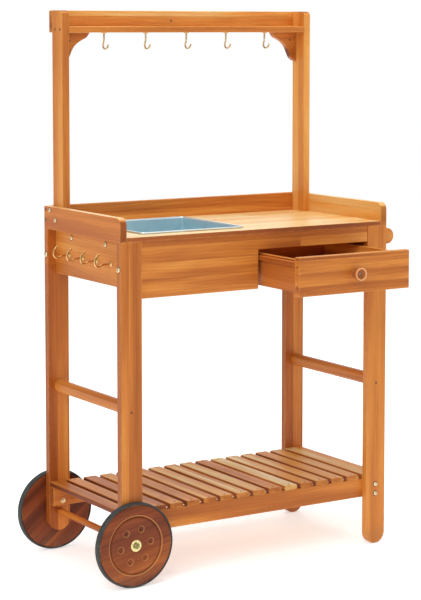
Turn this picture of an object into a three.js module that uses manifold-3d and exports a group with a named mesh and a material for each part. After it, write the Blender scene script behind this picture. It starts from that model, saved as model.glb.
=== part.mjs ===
// Potting bench on two wheels: acacia frame with a slatted lower shelf, a worktop with a
// drop-in galvanised basin, a drawer, a push handle and an overhead shelf with cup hooks.
// Millimetres, +Z up. Local layout frame: x from the outer edge of the left legs, y from the
// front face of the front legs towards the back, z from the floor. The finished group is
// shifted so that the bottom centre of its bounding box is the origin.
import * as THREE from 'three';
import * as BufferGeometryUtils from 'three/addons/utils/BufferGeometryUtils.js';
import Module from 'manifold-3d';

const wasm = await Module();
wasm.setup();

// ---- driving dimensions -------------------------------------------------------------
const FRAME_W = 806;          // outside to outside of the legs, x
const FRAME_D = 400;          // outside to outside of the legs, y
const LEG_W = 60;             // leg board width (x)
const LEG_T = 18;             // leg board thickness (y)
const LEG_TOP = 852;          // underside of the worktop
const LEFT_LEG_FOOT = 55;     // the wheeled end stands on its wheels, legs stop short
const LEG_ROUND = 30;         // half-round leg foot
const TOP_T = 11;             // worktop board thickness
const TOP_Z = LEG_TOP + TOP_T;
const GAL_T = 18;             // side gallery board thickness
const GAL_Z = 911;            // top of side galleries
const GAL_R = 18;             // rounded front corner of the side galleries
const BACK_Y = 383;           // front face of the rear gallery and hutch back board
const BACK_T = 17;
const POST_T = 20;            // hutch post thickness (x)
const POST_Y = 329;           // hutch post front face
const POST_TOP = 1415;        // overall height
const SHELF_Z0 = 1358;        // hutch shelf underside
const SHELF_Z1 = 1374;
const SHELF_Y = 327;          // hutch shelf front edge
const BRACKET = 80.5;         // hutch bracket reach
const APRON_Z = 711;          // lower edge of the front apron's left panel
const APRON_RAIL_Z = 811;     // lower edge of the rail above the drawer
const APRON_X = 402;          // right edge of the apron's left panel
const PANEL_IN = 24;          // end panels sit back from the leg edge
const PANEL_T = 16;
const PANEL_Z = 736;
const RAIL_T = 18;
const RAIL_Z0 = 125;
const RAIL_Z1 = 174;
const SLAT_T = 13;
const SLAT_N = 16;
const SLAT_X0 = 2;
const SLAT_W = 38;
const SLAT_PITCH = 49.5;
const SLAT_END = 803;         // right edge of the last, wider slat
const SLAT_R = 3.5;           // rounded long edges
const STRETCH_Z0 = 424;
const STRETCH_H = 32;
const STRETCH_W = 26;
const STRETCH_C = 8;          // chamfer on the stretchers
const WHEEL_X = 30;           // axle centre
const WHEEL_Z = 106;          // axle height = wheel radius, so the tyres touch the floor
const TYRE_R = 106;
const DISC_R = 100.5;
const WHEEL_T = 18;
const WHEEL_GAP = 1.5;        // running gap between leg and wheel
const DIMPLE_R = 7;           // six shallow recesses round the hub, on the outer face
const DIMPLE_D = 3.2;
const DIMPLE_PC = 42.3;
const GROOVE_R = 71;          // decorative ring groove
const AXLE_R = 8.5;
const BASIN_X = 240.5, BASIN_Y = 200.5;
const BASIN_HALF = 147.5;     // outside of the basin wall, half size
const BASIN_BEAD = 2.5;       // radius of the rolled edge that rests on the worktop
const BASIN_DEPTH = 120;
const REBATE = 0.8;           // depth of the rebate that takes the rolled edge
const BASIN_CR = 9;           // outside corner radius of the basin wall
const DRW_X0 = 405, DRW_X1 = 745;
const DRW_Z0 = 709.5, DRW_Z1 = 807.5;
const DRW_FRONT = -176;       // drawer stands open
const DRW_FT = 20;
const DRW_SIDE_T = 12;
const DRW_STRIP = 8;          // runner strip stand-out
const DRW_LEN = 340;          // length of the drawer sides
const DRW_SZ0 = 718, DRW_SZ1 = 800;
const KNOB_X = (DRW_X0 + DRW_X1) / 2, KNOB_Z = (DRW_Z0 + DRW_Z1) / 2;
const HANDLE_X = 823.5, HANDLE_Z = 820, HANDLE_R = 21;
const HANDLE_ARM_T = 18;
const GRIP_R = 12;
const HOOK_WIRE = 1.9;        // hook wire radius
const TOP_HOOKS_X = [154, 279, 404, 529, 654];
const SIDE_HOOKS_Y = [89, 161.5, 234, 306.5];
const SIDE_HOOK_Z = 790;

const group = new THREE.Group();
group.name = 'potting_bench';

// ---- materials ----------------------------------------------------------------------
const mat = (color, rough = 0.6, metal = 0) =>
  new THREE.MeshStandardMaterial({ color, roughness: rough, metalness: metal });
const WOOD = 0xc8823f, WOOD_LIGHT = 0xe0a86a, WOOD_DARK = 0xa5672f, WOOD_RED = 0x96552a;
const BRASS = 0xc9a35a, RUBBER = 0x3c3f3e, ZINC = 0x9db4c0;

// ---- helpers ------------------------------------------------------------------------
function add(name, geo, color, rough, metal) {
  const m = new THREE.Mesh(geo, mat(color, rough, metal));
  m.name = name;
  group.add(m);
  return m;
}
function box(x0, x1, y0, y1, z0, z1) {
  const g = new THREE.BoxGeometry(x1 - x0, y1 - y0, z1 - z0);
  g.translate((x0 + x1) / 2, (y0 + y1) / 2, (z0 + z1) / 2);
  return g;
}
function poly(pts) {
  return new THREE.Shape(pts.map(([a, b]) => new THREE.Vector2(a, b)));
}
function extrude(shape, depth, seg = 12) {
  return new THREE.ExtrudeGeometry(shape, { depth, bevelEnabled: false, curveSegments: seg, steps: 1 });
}
// outline given in (x, z), thickness along y
function plateXZ(shape, y0, y1, seg) {
  const g = extrude(shape, y1 - y0, seg);
  g.rotateX(Math.PI / 2);
  g.translate(0, y1, 0);
  return g;
}
// outline given in (y, z), thickness along x
function plateYZ(shape, x0, x1, seg) {
  const g = extrude(shape, x1 - x0, seg);
  g.applyMatrix4(new THREE.Matrix4().set(0, 0, 1, x0, 1, 0, 0, 0, 0, 1, 0, 0, 0, 0, 0, 1));
  return g;
}
// outline given in (x, y), thickness along z
function plateXY(shape, z0, z1, seg) {
  const g = extrude(shape, z1 - z0, seg);
  g.translate(0, 0, z0);
  return g;
}
// outline given in (x, z) cross-section, length along y
const barY = plateXZ;
function toManifold(geo) {
  const g = geo.clone();
  g.deleteAttribute('normal');
  g.deleteAttribute('uv');
  const m = BufferGeometryUtils.mergeVertices(g, 1e-4);
  return new wasm.Manifold(new wasm.Mesh({
    numProp: 3,
    vertProperties: new Float32Array(m.attributes.position.array),
    triVerts: new Uint32Array(m.index.array),
  }));
}
function fromManifold(man) {
  const mesh = man.getMesh();
  const g = new THREE.BufferGeometry();
  const n = mesh.numProp, src = mesh.vertProperties, pos = new Float32Array((src.length / n) * 3);
  for (let i = 0; i < src.length / n; i++) {
    pos[3 * i] = src[n * i]; pos[3 * i + 1] = src[n * i + 1]; pos[3 * i + 2] = src[n * i + 2];
  }
  g.setAttribute('position', new THREE.BufferAttribute(pos, 3));
  g.setIndex(new THREE.BufferAttribute(new Uint32Array(mesh.triVerts), 1));
  g.computeVertexNormals();
  return g;
}
function meshFrom(pos, idx) {
  const g = new THREE.BufferGeometry();
  g.setAttribute('position', new THREE.BufferAttribute(new Float32Array(pos), 3));
  g.setIndex(idx);
  g.computeVertexNormals();
  return g;
}
// closed body from a stack of rings with equal point counts, capped at both ends
function ringStack(rings) {
  const n = rings[0].length, pos = [], idx = [];
  for (const r of rings) for (const p of r) pos.push(p[0], p[1], p[2]);
  for (let k = 0; k + 1 < rings.length; k++)
    for (let i = 0; i < n; i++) {
      const j = (i + 1) % n, a = k * n + i, b = k * n + j, c = (k + 1) * n + i, d = (k + 1) * n + j;
      idx.push(a, b, d, a, d, c);
    }
  const cap = (k, flip) => {
    const r = rings[k], c = [0, 1, 2].map((q) => r.reduce((s, p) => s + p[q], 0) / n);
    const ci = pos.length / 3;
    pos.push(...c);
    for (let i = 0; i < n; i++) {
      const a = k * n + i, b = k * n + ((i + 1) % n);
      if (flip) idx.push(ci, b, a); else idx.push(ci, a, b);
    }
  };
  cap(0, true);
  cap(rings.length - 1, false);
  return meshFrom(pos, idx);
}
// round wire along a planar path; path points are 3-D, side is the unit vector normal to the plane
function wire(path, radii, side, n = 12) {
  const rings = [];
  for (let k = 0; k < path.length; k++) {
    const a = path[Math.max(0, k - 1)], b = path[Math.min(path.length - 1, k + 1)];
    const t = new THREE.Vector3().subVectors(b, a).normalize();
    const u = new THREE.Vector3().crossVectors(t, side).normalize();
    const ring = [];
    for (let i = 0; i < n; i++) {
      const w = (2 * Math.PI * i) / n, c = Math.cos(w) * radii[k], s = Math.sin(w) * radii[k];
      ring.push([path[k].x + side.x * c + u.x * s, path[k].y + side.y * c + u.y * s, path[k].z + side.z * c + u.z * s]);
    }
    rings.push(ring);
  }
  return ringStack(rings);
}
// turned body about the y axis: profile is [radius, y] from the front end to the back end
function turnedY(profile, cx, cz, seg = 48) {
  const g = new THREE.LatheGeometry(profile.map(([r, y]) => new THREE.Vector2(r, y)), seg);
  g.translate(cx, 0, cz);
  return g;
}

// ---- legs ---------------------------------------------------------------------------
function leg(x0, y0, foot) {
  const s = new THREE.Shape();
  const x1 = x0 + LEG_W, cx = x0 + LEG_W / 2;
  s.moveTo(x1, foot + LEG_ROUND);
  s.lineTo(x1, LEG_TOP);
  s.lineTo(x0, LEG_TOP);
  s.lineTo(x0, foot + LEG_ROUND);
  s.absarc(cx, foot + LEG_ROUND, LEG_ROUND, Math.PI, 2 * Math.PI, false);
  return plateXZ(s, y0, y0 + LEG_T, 16);
}
const REAR_Y = FRAME_D - LEG_T;
add('leg_front_left', leg(0, 0, LEFT_LEG_FOOT), WOOD);
add('leg_rear_left', leg(0, REAR_Y, LEFT_LEG_FOOT), WOOD);
add('leg_front_right', leg(FRAME_W - LEG_W, 0, 0), WOOD);
add('leg_rear_right', leg(FRAME_W - LEG_W, REAR_Y, 0), WOOD);

// ---- aprons and end panels ----------------------------------------------------------
add('apron_front', plateXZ(poly([
  [LEG_W, APRON_Z], [APRON_X, APRON_Z], [APRON_X, APRON_RAIL_Z], [FRAME_W - LEG_W, APRON_RAIL_Z],
  [FRAME_W - LEG_W, LEG_TOP], [LEG_W, LEG_TOP],
]), 2, 18), WOOD);
add('apron_rear', box(LEG_W, FRAME_W - LEG_W, REAR_Y, REAR_Y + 16, 752, LEG_TOP), WOOD);
add('end_panel_left', box(PANEL_IN, PANEL_IN + PANEL_T, LEG_T, REAR_Y, PANEL_Z, LEG_TOP), WOOD_RED);
add('end_panel_right', box(FRAME_W - PANEL_IN - PANEL_T, FRAME_W - PANEL_IN, LEG_T, REAR_Y, PANEL_Z, LEG_TOP), WOOD);

// ---- worktop and galleries ----------------------------------------------------------
function roundRect(cx, cy, hx, hy, r, Path = THREE.Shape) {
  const s = new Path();
  s.moveTo(cx - hx + r, cy - hy);
  s.lineTo(cx + hx - r, cy - hy);
  s.absarc(cx + hx - r, cy - hy + r, r, -Math.PI / 2, 0, false);
  s.lineTo(cx + hx, cy + hy - r);
  s.absarc(cx + hx - r, cy + hy - r, r, 0, Math.PI / 2, false);
  s.lineTo(cx - hx + r, cy + hy);
  s.absarc(cx - hx + r, cy + hy - r, r, Math.PI / 2, Math.PI, false);
  s.lineTo(cx - hx, cy - hy + r);
  s.absarc(cx - hx + r, cy - hy + r, r, Math.PI, 1.5 * Math.PI, false);
  return s;
}
{
  // notched at both rear corners for the posts
  const xr = FRAME_W - GAL_T;
  const s = poly([[GAL_T, 0], [xr, 0], [xr, POST_Y], [xr - POST_T, POST_Y], [xr - POST_T, BACK_Y],
    [GAL_T + POST_T, BACK_Y], [GAL_T + POST_T, POST_Y], [GAL_T, POST_Y]]);
  s.holes.push(roundRect(BASIN_X, BASIN_Y, BASIN_HALF + 0.8, BASIN_HALF + 0.8, BASIN_CR + 0.8, THREE.Path));
  // shallow rebate round the cut-out, which the basin's rolled edge sits in
  const rebate = extrude(roundRect(BASIN_X, BASIN_Y, BASIN_HALF + 5.5, BASIN_HALF + 5.5, 13), 2, 5);
  rebate.translate(0, 0, TOP_Z - REBATE);
  add('worktop', fromManifold(toManifold(plateXY(s, LEG_TOP, TOP_Z, 8)).subtract(toManifold(rebate))), WOOD_LIGHT);
}
function sideGallery(x0) {
  const s = new THREE.Shape();
  s.moveTo(0, LEG_TOP);
  s.lineTo(FRAME_D, LEG_TOP);
  s.lineTo(FRAME_D, GAL_Z);
  s.lineTo(GAL_R, GAL_Z);
  s.absarc(GAL_R, GAL_Z - GAL_R, GAL_R, Math.PI / 2, Math.PI, false);
  return plateYZ(s, x0, x0 + GAL_T, 10);
}
add('gallery_left', sideGallery(0), WOOD);
add('gallery_right', sideGallery(FRAME_W - GAL_T), WOOD);
add('gallery_rear', box(GAL_T, FRAME_W - GAL_T, BACK_Y, BACK_Y + BACK_T, LEG_TOP, GAL_Z + 1), WOOD);

// ---- hutch --------------------------------------------------------------------------
function post(x0) {
  const s = new THREE.Shape();
  s.moveTo(POST_Y, LEG_TOP);
  s.lineTo(BACK_Y, LEG_TOP);
  s.lineTo(BACK_Y, POST_TOP);
  s.lineTo(POST_Y + 20, POST_TOP);
  s.absellipse(POST_Y + 20, POST_TOP - 10, 20, 10, Math.PI / 2, Math.PI, false);
  return plateYZ(s, x0, x0 + POST_T, 10);
}
const PL0 = GAL_T, PL1 = PL0 + POST_T, PR1 = FRAME_W - GAL_T, PR0 = PR1 - POST_T;
add('hutch_post_left', post(PL0), WOOD);
add('hutch_post_right', post(PR0), WOOD);
add('hutch_back_board', box(PL0, PR1, BACK_Y, BACK_Y + BACK_T, SHELF_Z0, POST_TOP), WOOD_LIGHT);
{
  const s = new THREE.Shape(), r = 3, z0 = SHELF_Z0, z1 = SHELF_Z1, y0 = SHELF_Y;
  s.moveTo(y0 + r, z0);
  s.lineTo(BACK_Y, z0);
  s.lineTo(BACK_Y, z1);
  s.lineTo(y0 + r, z1);
  s.absarc(y0 + r, z1 - r, r, Math.PI / 2, Math.PI, false);
  s.absarc(y0 + r, z0 + r, r, Math.PI, 1.5 * Math.PI, false);
  add('hutch_shelf', plateYZ(s, PL1, PR0, 4), WOOD_LIGHT);
}
{
  const ogee = [[80.5, 0], [71, 12.4], [57, 19.4], [41.4, 29.2], [30.4, 42], [22.5, 59], [16.2, 70], [6.7, 77], [0, 80]];
  const curve = new THREE.CatmullRomCurve3(ogee.map(([a, b]) => new THREE.Vector3(a * BRACKET / 80.5, b * BRACKET / 80.5, 0)));
  const pts = curve.getPoints(28);
  const left = [[PL1, SHELF_Z0], ...pts.map((p) => [PL1 + p.x, SHELF_Z0 - p.y]).reverse()];
  const right = [[PR0, SHELF_Z0], ...pts.map((p) => [PR0 - p.x, SHELF_Z0 - p.y])];
  add('hutch_bracket_left', plateXZ(poly(left), BACK_Y - 16, BACK_Y), WOOD_DARK);
  add('hutch_bracket_right', plateXZ(poly(right), BACK_Y - 16, BACK_Y), WOOD_DARK);
}

// ---- side stretchers ----------------------------------------------------------------
function stretcher(cx) {
  const h = STRETCH_W / 2, c = STRETCH_C, z0 = STRETCH_Z0, z1 = z0 + STRETCH_H;
  return barY(poly([
    [cx - h + c, z0], [cx + h - c, z0], [cx + h, z0 + c], [cx + h, z1 - c],
    [cx + h - c, z1], [cx - h + c, z1], [cx - h, z1 - c], [cx - h, z0 + c],
  ]), LEG_T, REAR_Y);
}
add('stretcher_left', stretcher(LEG_W / 2), WOOD);
add('stretcher_right', stretcher(FRAME_W - LEG_W / 2), WOOD_DARK);

// ---- lower shelf --------------------------------------------------------------------
add('shelf_rail_front', box(3, FRAME_W - 3, LEG_T, LEG_T + RAIL_T, RAIL_Z0, RAIL_Z1), WOOD);
add('shelf_rail_rear', box(3, FRAME_W - 3, REAR_Y - RAIL_T, REAR_Y, RAIL_Z0, RAIL_Z1), WOOD);
for (let i = 0; i < SLAT_N; i++) {
  const x0 = SLAT_X0 + SLAT_PITCH * i, x1 = i === SLAT_N - 1 ? SLAT_END : x0 + SLAT_W;
  add('shelf_slat_' + String(i + 1).padStart(2, '0'),
    barY(roundRect((x0 + x1) / 2, RAIL_Z1 + SLAT_T / 2, (x1 - x0) / 2, SLAT_T / 2, SLAT_R), LEG_T, REAR_Y, 4), i % 2 ? WOOD_LIGHT : WOOD);
}

// ---- wheels and axle ----------------------------------------------------------------
function wheelDisc(y0, faceFront) {
  // y0..y0+T, decorative groove ring on the outer face
  const T = WHEEL_T, R = DISC_R, gr = GROOVE_R, y1 = y0 + T;
  const front = [[0.001, y0], [gr - 2.2, y0], [gr - 1.2, y0 + 2], [gr + 1.2, y0 + 2], [gr + 2.2, y0], [R - 1.5, y0], [R, y0 + 1.5], [R, y1 - 1.5], [R - 1.5, y1], [0.001, y1]];
  const back = [[0.001, y0], [R - 1.5, y0], [R, y0 + 1.5], [R, y1 - 1.5], [R - 1.5, y1], [gr + 2.2, y1], [gr + 1.2, y1 - 2], [gr - 1.2, y1 - 2], [gr - 2.2, y1], [0.001, y1]];
  const prof = (faceFront ? front : back).map(([r, y]) => [r < 0.01 ? 0 : r, y]);
  let body = toManifold(turnedY(prof, 0, 0, 72));
  for (let k = 0; k < 6; k++) {
    const a = ((k * 60 + 8.7) * Math.PI) / 180;
    // cone with its wide end at the outer face
    const r0 = DIMPLE_R * 0.45, r1 = DIMPLE_R * 1.16;
    const c = faceFront
      ? new THREE.CylinderGeometry(r0, r1, DIMPLE_D + 1, 20)
      : new THREE.CylinderGeometry(r1, r0, DIMPLE_D + 1, 20);
    c.translate(DIMPLE_PC * Math.cos(a), faceFront ? y0 + DIMPLE_D / 2 - 0.5 : y1 - DIMPLE_D / 2 + 0.5, DIMPLE_PC * Math.sin(a));
    body = body.subtract(toManifold(c));
  }
  const g = fromManifold(body);
  g.translate(WHEEL_X, 0, WHEEL_Z);
  return g;
}
function tyre(y0) {
  // rubber band with softly domed tread; closed section
  const r0 = DISC_R + 0.3, r1 = TYRE_R, y1 = y0 + WHEEL_T;
  const p = [[r0, y0 + 1], [r0 + 1, y0], [r1 - 2.2, y0], [r1 - 0.9, y0 + 1], [r1 - 0.3, y0 + 3], [r1, y0 + 6],
    [r1, y1 - 6], [r1 - 0.3, y1 - 3], [r1 - 0.9, y1 - 1], [r1 - 2.2, y1], [r0 + 1, y1], [r0, y1 - 1], [r0, y0 + 1]];
  return turnedY(p, WHEEL_X, WHEEL_Z, 72);
}
const WF_Y = -WHEEL_GAP - WHEEL_T, WR_Y = FRAME_D + WHEEL_GAP;
add('wheel_front_disc', wheelDisc(WF_Y, true), WOOD_RED);
add('wheel_front_tyre', tyre(WF_Y), RUBBER, 0.9);
add('wheel_rear_disc', wheelDisc(WR_Y, false), WOOD_RED);
add('wheel_rear_tyre', tyre(WR_Y), RUBBER, 0.9);
add('axle_rod', turnedY([[0, LEG_T], [AXLE_R - 1, LEG_T], [AXLE_R, LEG_T + 1], [AXLE_R, REAR_Y - 1], [AXLE_R - 1, REAR_Y], [0, REAR_Y]], WHEEL_X, WHEEL_Z, 32), WOOD);

// ---- basin --------------------------------------------------------------------------
{
  const t = 1.4, cs = 5, z0 = TOP_Z - BASIN_DEPTH, B = BASIN_BEAD, bo = B - 1, bz = TOP_Z - REBATE + B + 0.4;
  // section: [offset from the outside wall line, z], inner floor first, outer floor last
  const sec = [[-9, z0 + t], [-5.4, z0 + t + 0.5], [-2.7, z0 + t + 2.6], [-t - 0.1, z0 + t + 5.6], [-t, z0 + 10], [-t, bz - 1]];
  for (let i = 0; i <= 12; i++) {
    const a = Math.PI * (0.97 - (i / 12) * 1.62);
    sec.push([bo + B * Math.cos(a), bz + B * Math.sin(a)]);
  }
  sec.push([0.35, TOP_Z - REBATE + 0.5], [0, TOP_Z - REBATE - 1], [0, z0 + 8], [-1.2, z0 + 4.2], [-4, z0 + 1.2], [-9, z0]);
  const ring = ([o, z]) => {
    const h = BASIN_HALF + o, r = Math.max(BASIN_CR + o, 2.5), pts = [];
    for (let q = 0; q < 4; q++)
      for (let i = 0; i <= cs; i++) {
        const a = (q * Math.PI) / 2 + (i / cs) * (Math.PI / 2);
        const sx = q === 0 || q === 3 ? 1 : -1, sy = q < 2 ? 1 : -1;
        pts.push([BASIN_X + sx * (h - r) + r * Math.cos(a), BASIN_Y + sy * (h - r) + r * Math.sin(a), z]);
      }
    return pts;
  };
  const g = ringStack(sec.map(ring).reverse());
  add('basin', g, ZINC, 0.35, 0.9);
}

// ---- drawer (standing open) ---------------------------------------------------------
const DY0 = DRW_FRONT + DRW_FT, DY1 = DY0 + DRW_LEN;
add('drawer_front', box(DRW_X0, DRW_X1, DRW_FRONT, DY0, DRW_Z0, DRW_Z1), WOOD_LIGHT);
{
  const a = DRW_X0 + DRW_STRIP, b = a + DRW_SIDE_T, s1 = DRW_SZ1 - 5, s0 = s1 - 10;
  const left = [[a, DRW_SZ0], [b, DRW_SZ0], [b, DRW_SZ1], [a, DRW_SZ1], [a, s1], [DRW_X0, s1], [DRW_X0, s0], [a, s0]];
  const mx = (x) => DRW_X0 + DRW_X1 - x;
  const right = left.map(([x, z]) => [mx(x), z]).reverse();
  add('drawer_side_left', barY(poly(left), DY0, DY1), WOOD);
  add('drawer_side_right', barY(poly(right), DY0, DY1), WOOD);
  add('drawer_back', box(b, mx(b), DY1 - 12, DY1, DRW_SZ0 + 10, DRW_SZ1), WOOD);
  add('drawer_bottom', box(b, mx(b), DY0, DY1, DRW_SZ0 + 4, DRW_SZ0 + 10), WOOD_LIGHT);
}
{
  const y = DRW_FRONT;
  // dished face, rolled edge, waist, collar
  const p = [[0, y - 23.6], [5, y - 23.7], [9, y - 24.4], [11.5, y - 25.8], [13, y - 26.8], [14.6, y - 27], [16, y - 25.8], [16.6, y - 23.4],
    [16.2, y - 20.6], [14.6, y - 18.2], [11.6, y - 15.6], [9.2, y - 12.4], [8.2, y - 8.6], [8.8, y - 4.6], [10.4, y - 1.6], [11.2, y], [0, y]];
  add('drawer_knob', turnedY(p.map(([r, y]) => [r * 1.07, y]), KNOB_X, KNOB_Z, 40), WOOD_LIGHT);
}

// ---- push handle --------------------------------------------------------------------
{
  const arm = (y0) => {
    const s = new THREE.Shape(), x0 = FRAME_W - PANEL_IN;
    s.moveTo(x0, HANDLE_Z - HANDLE_R);
    s.lineTo(HANDLE_X, HANDLE_Z - HANDLE_R);
    s.absarc(HANDLE_X, HANDLE_Z, HANDLE_R, -Math.PI / 2, Math.PI / 2, false);
    s.lineTo(x0, HANDLE_Z + HANDLE_R);
    return plateXZ(s, y0, y0 + HANDLE_ARM_T, 20);
  };
  const grip = new THREE.CylinderGeometry(GRIP_R, GRIP_R, REAR_Y - LEG_T - 12, 40);
  grip.translate(HANDLE_X, FRAME_D / 2, HANDLE_Z);
  const g = toManifold(arm(LEG_T)).add(toManifold(arm(REAR_Y - HANDLE_ARM_T))).add(toManifold(grip));
  add('push_handle', fromManifold(g), WOOD);
}

// ---- cup hooks ----------------------------------------------------------------------
// profile as [distance out from the mounting surface, sideways towards the open tip]
const HOOK = [[22, 0], [26.5, -1.4], [31, -3.8], [36, -5], [41, -3.6], [45, 1], [46.2, 7], [45, 13.5], [41.8, 19.5], [37.4, 23.6], [33, 25.5]];
function hook(origin, out, up) {
  const o = new THREE.Vector3(...origin), d = new THREE.Vector3(...out), u = new THREE.Vector3(...up);
  const at = (s, l) => o.clone().addScaledVector(d, s).addScaledVector(u, l);
  const side = new THREE.Vector3().crossVectors(d, u).normalize();
  const path = [], rad = [];
  const put = (s, l, r) => { path.push(at(s, l)); rad.push(r); };
  put(0, 0, 6.6); put(1.4, 0, 6.6); put(2.6, 0, 4.4); put(4.4, 0, HOOK_WIRE);
  const c = new THREE.CatmullRomCurve3(HOOK.map(([s, l]) => new THREE.Vector3(s, l, 0)));
  const N = 18;
  for (let i = 0; i <= N; i++) {
    const p = c.getPoint(i / N);
    put(p.x, p.y, HOOK_WIRE * (i > N - 2 ? (i === N ? 0.45 : 0.85) : 1));
  }
  return wire(path, rad, side, 10);
}
TOP_HOOKS_X.forEach((x, i) => add('top_hook_' + (i + 1), hook([x, 355, SHELF_Z0], [0, 0, -1], [0, -1, 0]), BRASS, 0.3, 1));
SIDE_HOOKS_Y.forEach((y, i) => add('side_hook_' + (i + 1), hook([PANEL_IN, y, SIDE_HOOK_Z], [-1, 0, 0], [0, 0, 1]), BRASS, 0.3, 1));

// ---- origin at the bottom centre of the bounding box ----------------------------------
group.updateMatrixWorld(true);
const bb = new THREE.Box3().setFromObject(group);
const shift = new THREE.Vector3(-(bb.min.x + bb.max.x) / 2, -(bb.min.y + bb.max.y) / 2, -bb.min.z);
for (const m of group.children) m.geometry.translate(shift.x, shift.y, shift.z);

export default group;
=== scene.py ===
import bpy, bmesh, math
from mathutils import Vector, Matrix


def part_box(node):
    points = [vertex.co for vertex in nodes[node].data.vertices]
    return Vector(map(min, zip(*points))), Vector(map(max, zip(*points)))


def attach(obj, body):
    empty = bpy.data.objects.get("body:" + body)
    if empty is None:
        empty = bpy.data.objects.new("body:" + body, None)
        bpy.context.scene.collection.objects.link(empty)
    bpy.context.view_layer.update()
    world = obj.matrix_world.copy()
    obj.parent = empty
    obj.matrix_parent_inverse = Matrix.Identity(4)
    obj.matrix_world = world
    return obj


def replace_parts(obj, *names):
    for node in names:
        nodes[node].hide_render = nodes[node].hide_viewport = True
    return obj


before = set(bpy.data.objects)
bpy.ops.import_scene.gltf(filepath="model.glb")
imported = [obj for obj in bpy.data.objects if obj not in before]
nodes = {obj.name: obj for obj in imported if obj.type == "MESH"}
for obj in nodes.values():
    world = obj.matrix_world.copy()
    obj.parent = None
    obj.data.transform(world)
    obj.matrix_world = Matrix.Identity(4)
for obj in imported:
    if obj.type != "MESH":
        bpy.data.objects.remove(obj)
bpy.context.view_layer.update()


# Layout frame: x from the outer edge of the left legs, y from the front of the front legs, z from the floor, in mm.
LEG0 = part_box("leg_front_left")[0]
LEG1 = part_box("leg_rear_right")[1]
W = round((LEG1.x - LEG0.x) * 1000, 3)
D = round((LEG1.y - LEG0.y) * 1000, 3)


def P(x, y, z):
    return Vector((LEG0.x + x / 1000, LEG0.y + y / 1000, z / 1000))


# ------------------------------------------------------------------ camera, light, floor
cam = bpy.data.cameras.new("camera")
cam.sensor_width = 36
cam.lens = 1903.841 * 36 / 600
cam.shift_y = -0.18
cam.clip_end = 60
cam_o = bpy.data.objects.new("camera", cam)
cam_o.location = P(-2246.216, -3989.342, 1371.444)
cam_o.rotation_euler = (math.radians(90 -4.942), 0, math.radians(-32.114))
bpy.context.collection.objects.link(cam_o)
bpy.context.scene.camera = cam_o
bpy.context.scene.view_settings.view_transform = "Standard"
bpy.context.scene.view_settings.look = "None"


def area(name, loc, target, size, power, color=(1, 1, 1)):
    d = bpy.data.lights.new(name, "AREA")
    d.shape = "RECTANGLE"
    d.size, d.size_y = size
    d.energy = power
    d.color = color
    o = bpy.data.objects.new(name, d)
    o.location = loc
    o.rotation_euler = (Vector(target) - Vector(loc)).to_track_quat("-Z", "Y").to_euler()
    bpy.context.collection.objects.link(o)
    return o


area("key", (1.4, -3.7, 2.6), (0, 0, 0.7), (1.6, 2.0), 13, (1.0, 0.985, 0.96))
area("fill_left", (-4.2, -1.6, 1.9), (0, 0, 0.7), (2.0, 2.2), 24, (0.97, 0.985, 1.0))
area("top", (0.1, 0.1, 4.2), (0, 0, 0.8), (2.8, 2.4), 74)
area("back_rim", (1.8, 3.4, 2.6), (0, 0, 0.9), (2.4, 2.0), 24)

sun = bpy.data.lights.new("soft_sun", "SUN")
sun.energy = 1.0
sun.angle = math.radians(38)
sun_o = bpy.data.objects.new("soft_sun", sun)
sun_o.rotation_euler = (Vector((0, 0, 0)) - Vector((-0.52, -0.50, 0.70))).to_track_quat("-Z", "Y").to_euler()
bpy.context.collection.objects.link(sun_o)

# white backdrop, a dimmer dome for the light itself
world = bpy.data.worlds.new("studio")
world.use_nodes = True
wn, wl = world.node_tree.nodes, world.node_tree.links
bg = wn["Background"]
bg.inputs[0].default_value = (1, 1, 1, 1)
bg.inputs[1].default_value = 0.41
bg2 = wn.new("ShaderNodeBackground")
bg2.inputs[0].default_value = (1, 1, 1, 1)
bg2.inputs[1].default_value = 1.0
lp = wn.new("ShaderNodeLightPath")
mx = wn.new("ShaderNodeMixShader")
wl.new(lp.outputs["Is Camera Ray"], mx.inputs[0])
wl.new(bg.outputs[0], mx.inputs[1])
wl.new(bg2.outputs[0], mx.inputs[2])
wl.new(mx.outputs[0], wn["World Output"].inputs["Surface"])
bpy.context.scene.world = world


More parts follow.
